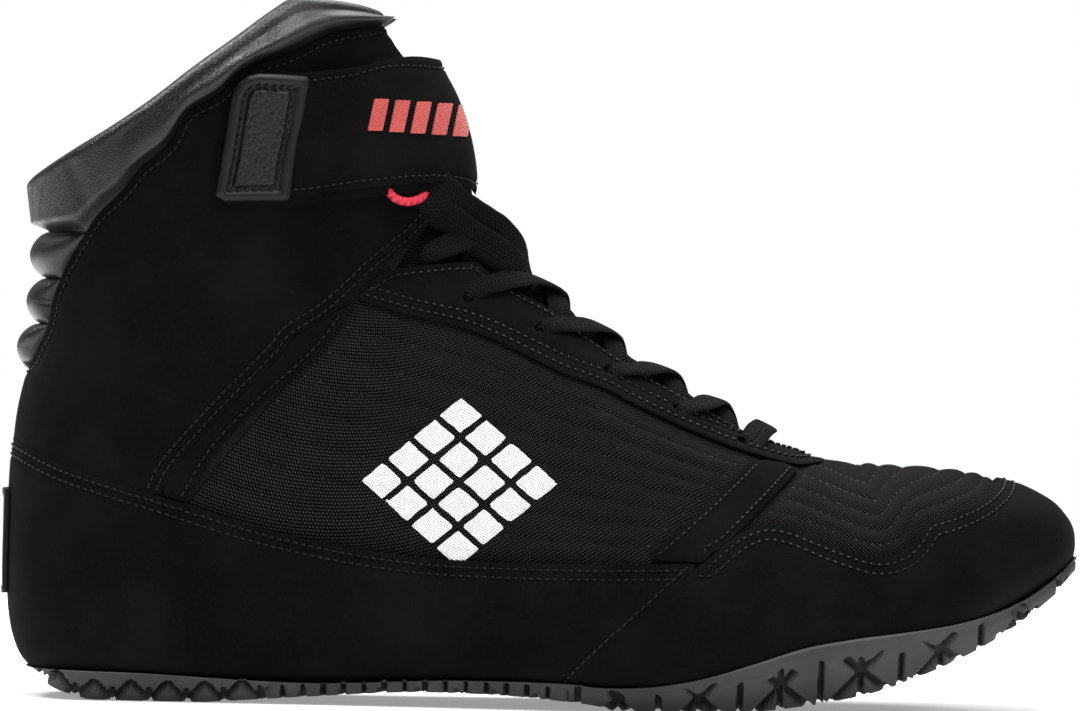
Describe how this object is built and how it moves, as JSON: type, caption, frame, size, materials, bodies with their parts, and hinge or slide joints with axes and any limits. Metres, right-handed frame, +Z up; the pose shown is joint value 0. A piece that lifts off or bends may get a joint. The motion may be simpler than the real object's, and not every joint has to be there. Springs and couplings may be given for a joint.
{
  "type": "high-top training shoe",
  "caption": "Right high-top training shoe with a padded leather collar, hook-and-loop ankle strap, laced throat and a thin wrap-round rubber sole.",
  "frame": {"origin": "on the floor under the centre of the shoe's box", "axes": "+X to the toe, +Y to the inner side of the foot, +Z up"},
  "size_m": [0.2882, 0.103, 0.1875],
  "materials": {
    "sole_rubber": "matt moulded rubber",
    "upper_mesh": "open woven mesh",
    "nubuck": "brushed matt nap",
    "collar_leather": "smooth satin leather",
    "trim_rubber": "moulded rubber",
    "lace": "flat woven lace",
    "red_cord": "round braided cord",
    "insole_foam": "textile covered foam"
  },
  "bodies": {
    "root": {"outsole": "sole_rubber", "upper": "upper_mesh", "insole": "insole_foam", "tongue": "upper_mesh", "collar_pad": "collar_leather", "heel_ribs": "collar_leather", "ankle_panel": "nubuck", "rear_rand": "nubuck", "toe_rand": "nubuck", "eyestay": "nubuck", "flank_strip_outer": "nubuck", "flank_strip_inner": "nubuck", "vamp_strip_outer": "nubuck", "vamp_strip_inner": "nubuck", "ankle_strap": "nubuck", "strap_patch": "trim_rubber", "heel_label": "trim_rubber", "lace_bar": "lace", "lace_loop": "red_cord", "lace_cross_1": "lace", "lace_cross_2": "lace", "lace_cross_3": "lace", "lace_cross_4": "lace", "lace_cross_5": "lace"}
  },
  "joints": []
}
